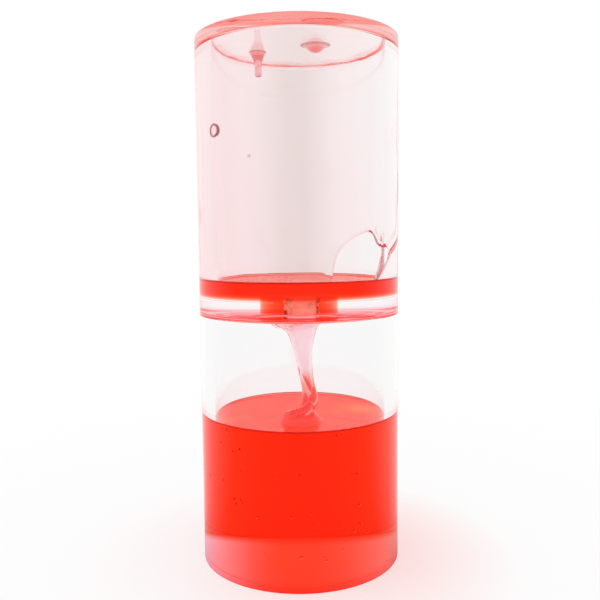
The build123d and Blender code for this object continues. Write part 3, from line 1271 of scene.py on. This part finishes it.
class Pipe(Nodes):
    """A geometry node group, written as calls."""

    def __init__(self, name):
        super().__init__(bpy.data.node_groups.new(name, "GeometryNodeTree"))
        self.socket("Geometry", "OUTPUT", "Geometry")
        self.inputs = {}

    def socket(self, name, way, kind):
        kind = "NodeSocket" + kind
        return self.tree.interface.new_socket(name, in_out=way, socket_type=kind)

    def entry(self, name, kind, value):
        """An input of the group, with the value that it gets."""
        self.inputs[self.socket(name, "INPUT", kind).identifier] = value
        return self.node("NodeGroupInput", output=name)

    def chance(self, low, high, seed):
        """A number between two others, another for each point."""
        values = {2: low, 3: high, "Seed": seed}
        return self.node("FunctionNodeRandomValue", values, 1, data_type="FLOAT")

    def grown(self, name, geometry, look):
        """The object that the group makes, as a plain mesh."""
        self.node("NodeGroupOutput", {"Geometry": geometry}, None)
        piece = linked(bpy.data.objects.new(name, bpy.data.meshes.new(name)))
        piece.data.materials.append(look)
        modifier = piece.modifiers.new("grow", "NODES")
        modifier.node_group = self.tree
        for key, value in self.inputs.items():
            modifier[key] = value
        apply_modifiers(piece)
        return piece


class TIMER_OT_bubbles(Operator):
    """Scatter small air bubbles through the lower pool"""

    bl_idname = "timer.bubbles"
    bl_label = "Bubbles"

    def execute(self, context):
        gel = context.scene.timer_gel
        look = material("bubble")
        haze = look.ramp(look.pattern(900), 0.3, 0.7, 0.0, 0.05)
        # Painted shade: each bubble's face is tinted dark red, so that it shows darker than the gel
        # round it
        skin = look.clear((0.6, 0.07, 0.06), 1 / gel.refraction, Roughness=haze)
        bubble = look.finish(skin)

        pipe = Pipe("bubbles")
        count = pipe.entry("Count", "Int", gel.bubbles)
        side = pipe.entry("Radius", "Float", BORE * 0.9)
        low = pipe.entry("Low", "Float", FLOOR_OF_LOWER + 2 * MM)
        high = pipe.entry("High", "Float", LOWER_POOL_LEVEL - 2 * MM)
        points = pipe.node("GeometryNodeMeshLine", {"Count": count})
        turn = pipe.chance(radians(-100), radians(60), 3)
        radius = pipe.chance(0.25, 1.0, 5).root() * side
        spot = {
            "X": radius * turn.sine(),
            "Y": radius * (-1 * turn.cosine()),
            "Z": pipe.chance(0.0, 1.0, 8).times_plus(high - low, low),
        }
        place = pipe.node("ShaderNodeCombineXYZ", spot)
        points = pipe.node("GeometryNodeSetPosition", {"Geometry": points, "Position": place})
        ball = pipe.node("GeometryNodeMeshIcoSphere", {"Radius": MM, "Subdivisions": 3})
        many = pipe.node(
            "GeometryNodeInstanceOnPoints",
            {"Points": points, "Instance": ball, "Scale": pipe.chance(0.2, 0.5, 13)},
        )
        solid = pipe.node("GeometryNodeRealizeInstances", {"Geometry": many})
        smooth = pipe.node("GeometryNodeSetShadeSmooth", {"Geometry": solid})
        dressed = pipe.node("GeometryNodeSetMaterial", {"Geometry": smooth, "Material": bubble})
        finish_piece(pipe.grown("gel_bubbles", dressed, bubble), "red_gel", "lower_gel")
        return {"FINISHED"}


# Stage

# A painted red glow on the floor round the timer's foot, for the red light that the gel throws
# there
PAINTED_FLOOR_GLOW = (1.0, 0.74, 0.72)
# Forward share of a direction where mirrored light begins and ends its rise
MIRROR_SPREAD = (-0.3, 0.8)
# The floor lies a little under the timer's foot
FLOOR_LEVEL = -0.05 * MM


class TIMER_OT_studio(Operator):
    """Set the floor, the light and the camera"""

    bl_idname = "timer.studio"
    bl_label = "Studio"

    def execute(self, context):
        scene = context.scene
        studio = scene.timer_studio
        shell = Shell(even_angles(96))
        shell.turn([(1.5, FLOOR_LEVEL), (0, FLOOR_LEVEL)])
        floor = shell.piece("floor", self.floor_look(studio))
        scene.world = self.light(studio)
        scene.camera = self.camera(studio)
        scene.view_settings.view_transform = "Standard"
        for kind in ("max", "transmission", "glossy", "volume", "transparent_max"):
            setattr(scene.cycles, kind + "_bounces", studio.bounces)
        return {"FINISHED"}

    def floor_look(self, studio):
        look = material("floor")
        x, y, _ = look.place()
        radius = (x * x + y * y).root()
        plain = look.ramp(radius, OUTER, studio.plain_radius, studio.floor_lift, 1.0)
        values = {"Base Color": tone(studio.floor_colour), "Roughness": 0.6}
        paper = look.node("ShaderNodeBsdfPrincipled", {**values, "Specular IOR Level": 0.2})
        # Painted red glow: strongest at the foot, more on the right
        spread = look.ramp(radius, OUTER, 2.2 * OUTER, 1.0, 0.0)
        side = look.ramp(x, -1.2 * OUTER, 1.2 * OUTER, 0.3, 1.0)
        seen = look.blend(plain, paper, look.light(look.mix(spread * side, WHITE, PAINTED_FLOOR_GLOW)))
        front = look.ramp(y * (1 / radius), *MIRROR_SPREAD, 1.0, 0.0)
        dim = look.light(WHITE, studio.mirrored_front)
        return look.finish(look.blend(look.mirrored() * front, seen, dim))

    def light(self, studio):
        look = Look(bpy.data.worlds.new("studio"))
        way = look.node("ShaderNodeTexCoord", output="Generated")
        back = look.node("ShaderNodeSeparateXYZ", {"Vector": way}, "Y")
        outer = look.ramp(back, *MIRROR_SPREAD, studio.mirrored_front, 1.0)
        inner = look.ramp(back, *MIRROR_SPREAD, studio.inner_front, 1.0)
        strength = 1 - look.mirrored() * (1 - outer) - look.ray("Transmission") * (1 - inner)
        values = {"Color": tone(WHITE), "Strength": strength}
        return look.finish(look.node("ShaderNodeBackground", values))

    def camera(self, studio):
        data = bpy.data.cameras.new("camera")
        data.sensor_width = 36
        data.lens = studio.lens
        data.clip_start = MM
        pitch, yaw, roll = studio.camera_pitch, studio.camera_yaw, studio.camera_roll
        ahead = Vector((sin(yaw) * cos(pitch), cos(yaw) * cos(pitch), -sin(pitch)))
        right = Vector((cos(yaw), -sin(yaw), 0))
        tilted = Matrix.Rotation(-roll, 3, ahead)
        rows = tilted @ right, tilted @ right.cross(ahead), -ahead
        view = Matrix(rows).transposed().to_4x4()
        view.translation = (0, -studio.camera_distance, studio.camera_height)
        camera = linked(bpy.data.objects.new("camera", data))
        camera.matrix_world = view
        return camera


class TIMER_PT_panel(Panel):
    """Lists the timer's pieces and sizes"""

    bl_idname = "TIMER_PT_panel"
    bl_label = "Liquid Motion Timer"
    bl_space_type = "VIEW_3D"
    bl_region_type = "UI"
    bl_category = "Timer"

    def draw(self, context):
        for group in GROUPS:
            values = getattr(context.scene, group)
            box = self.layout.box()
            for key in values.__annotations__:
                box.prop(values, key)
        for operator in OPERATORS:
            self.layout.operator(operator.bl_idname)


GROUPS = {"timer_body": TimerBody, "timer_gel": TimerGel, "timer_studio": TimerStudio}
OPERATORS = (
    TIMER_OT_studio,
    TIMER_OT_discs,
    TIMER_OT_tubes,
    TIMER_OT_cement,
    TIMER_OT_pools,
    TIMER_OT_wall_film,
    TIMER_OT_ceiling_gel,
    TIMER_OT_ceiling_drops,
    TIMER_OT_wall_droplets,
    TIMER_OT_falling_gel,
    TIMER_OT_bubbles,
)
CLASSES = (*GROUPS.values(), *OPERATORS, TIMER_PT_panel)


def register():
    for kind in CLASSES:
        bpy.utils.register_class(kind)
    for name, group in GROUPS.items():
        setattr(bpy.types.Scene, name, PointerProperty(type=group))


def unregister():
    for name in GROUPS:
        delattr(bpy.types.Scene, name)
    for kind in reversed(CLASSES):
        bpy.utils.unregister_class(kind)


def main():
    register()
    for operator in OPERATORS:
        group, name = operator.bl_idname.split(".")
        getattr(getattr(bpy.ops, group), name)()


if __name__ == "__main__":
    main()
